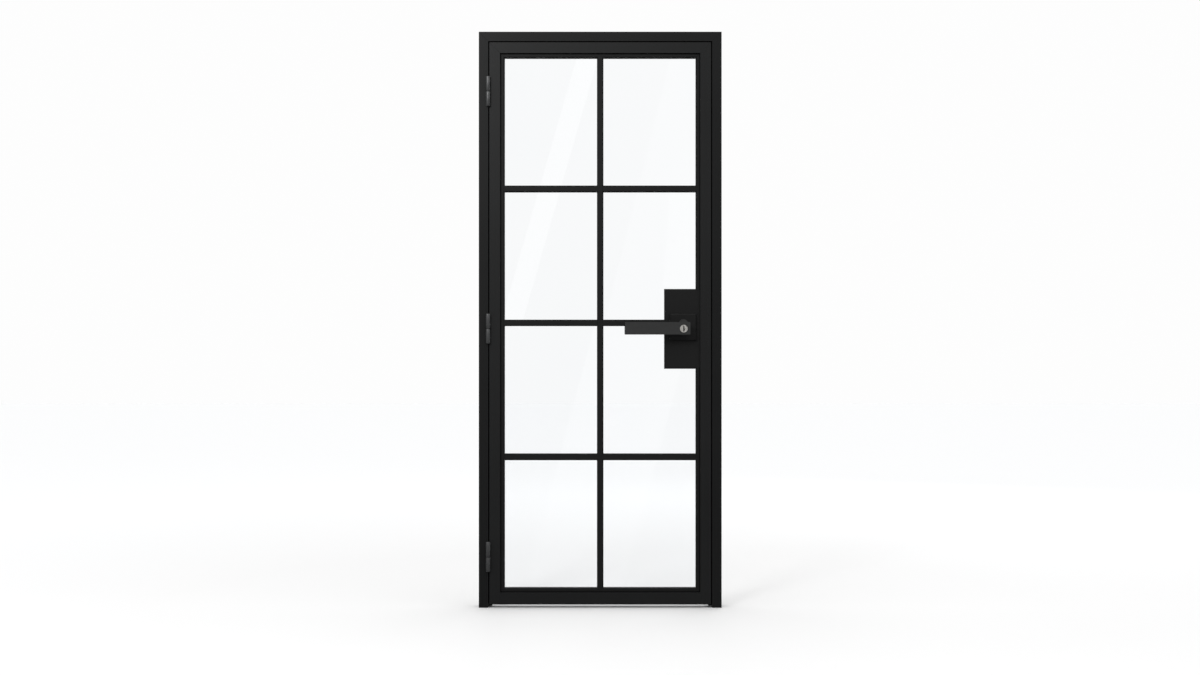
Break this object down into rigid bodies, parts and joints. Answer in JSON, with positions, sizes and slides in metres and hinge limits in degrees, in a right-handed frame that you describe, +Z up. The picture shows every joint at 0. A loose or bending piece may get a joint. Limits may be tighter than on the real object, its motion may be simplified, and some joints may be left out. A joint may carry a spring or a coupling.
{
  "type": "glazed door with frame",
  "caption": "Black steel-framed glass door in its rebated frame: gridded glazing, barrel hinges, lock box, square rose and straight lever handle.",
  "frame": {"origin": "on the floor, midway between the jambs, on the leaf's mid-plane", "axes": "+X to the right seen from the front (lock side), +Y away from the front face, +Z up"},
  "size_m": [0.9, 0.1816, 2.135],
  "materials": {
    "black_coat": "satin",
    "black_cover": "satin",
    "hinge_steel": "satin",
    "handle_black": "satin",
    "glass": "gloss",
    "rubber": "matte",
    "steel": "satin",
    "dark_steel": "satin",
    "nickel": "satin"
  },
  "bodies": {
    "frame": {"frame_jamb_hinge": "black_coat", "frame_jamb_strike": "black_coat", "frame_head": "black_coat", "frame_seal": "rubber", "strike_plate": "dark_steel", "strike_box": "steel", "strike_screws": "dark_steel", "hinge_frame_knuckle_bottom": "hinge_steel", "hinge_frame_knuckle_middle": "hinge_steel", "hinge_frame_knuckle_top": "hinge_steel", "hinge_pins": "steel", "hinge_washers": "dark_steel"},
    "leaf": {"hinge_leaf_knuckle_bottom": "hinge_steel", "hinge_leaf_knuckle_middle": "hinge_steel", "hinge_leaf_knuckle_top": "hinge_steel", "leaf_stile_hinge": "black_coat", "leaf_stile_lock": "black_coat", "leaf_top_rail": "black_coat", "leaf_bottom_rail": "black_coat", "edge_bar_top": "black_coat", "edge_bar_bottom": "black_coat", "edge_bar_hinge_side": "black_coat", "edge_bar_lock_upper": "black_coat", "edge_bar_lock_lower": "black_coat", "mullion": "black_coat", "transoms_left": "black_coat", "transoms_right": "black_coat", "glass_left_1": "glass", "glass_left_2": "glass", "glass_left_3": "glass", "glass_left_4": "glass", "glass_right_1": "glass", "glass_right_2": "glass", "glass_right_3": "glass", "glass_right_4": "glass", "glazing_gasket_front": "rubber", "glazing_gasket_back": "rubber", "glazing_beads_left": "black_coat", "glazing_beads_right": "black_coat", "setting_blocks": "rubber", "lock_box_shell": "black_coat", "lock_cover_front": "black_cover", "lock_cover_back": "black_cover", "latch_case": "steel", "latch_forend": "dark_steel", "forend_screws": "dark_steel", "latch_spring": "steel", "rose_front": "handle_black", "rose_back": "handle_black", "rose_bolts": "steel"},
    "handle": {"lever_front": "handle_black", "lever_back": "handle_black", "spindle": "steel", "latch_follower": "steel", "lever_grub_screws": "steel", "lever_collars": "handle_black"},
    "latch": {"latch_bolt": "dark_steel"},
    "key": {"key_plug": "nickel"},
    "inside_button": {"turn_button": "nickel"}
  },
  "joints": [
    {"name": "leaf_swing", "type": "hinge", "parent": "frame", "child": "leaf", "pos_m": [-0.415, -0.0335, 1.0346], "axis": [0, 0, -1], "range_deg": [0, 170]},
    {"name": "lever_turn", "type": "hinge", "parent": "leaf", "child": "handle", "pos_m": [0.307, 0, 1.04], "axis": [0, -1, 0], "range_deg": [0, 40], "stiffness_Nm_per_rad": 2, "springref_deg": -68.75},
    {"name": "latch_slide", "type": "slide", "parent": "leaf", "child": "latch", "axis": [-1, 0, 0], "range_m": [0, 0.0121], "deforming": ["latch_spring"]},
    {"name": "key_turn", "type": "hinge", "parent": "handle", "child": "key", "pos_m": [0.307, -0.074, 1.0342], "axis": [0, -1, 0], "range_deg": [-90, 90]},
    {"name": "button_turn", "type": "hinge", "parent": "handle", "child": "inside_button", "pos_m": [0.307, 0.074, 1.0342], "axis": [0, 1, 0], "range_deg": [0, 90]}
  ],
  "couplings": [
    {"joint": "latch_slide", "follows": "lever_turn", "m_per_rad": 0.017189}
  ]
}
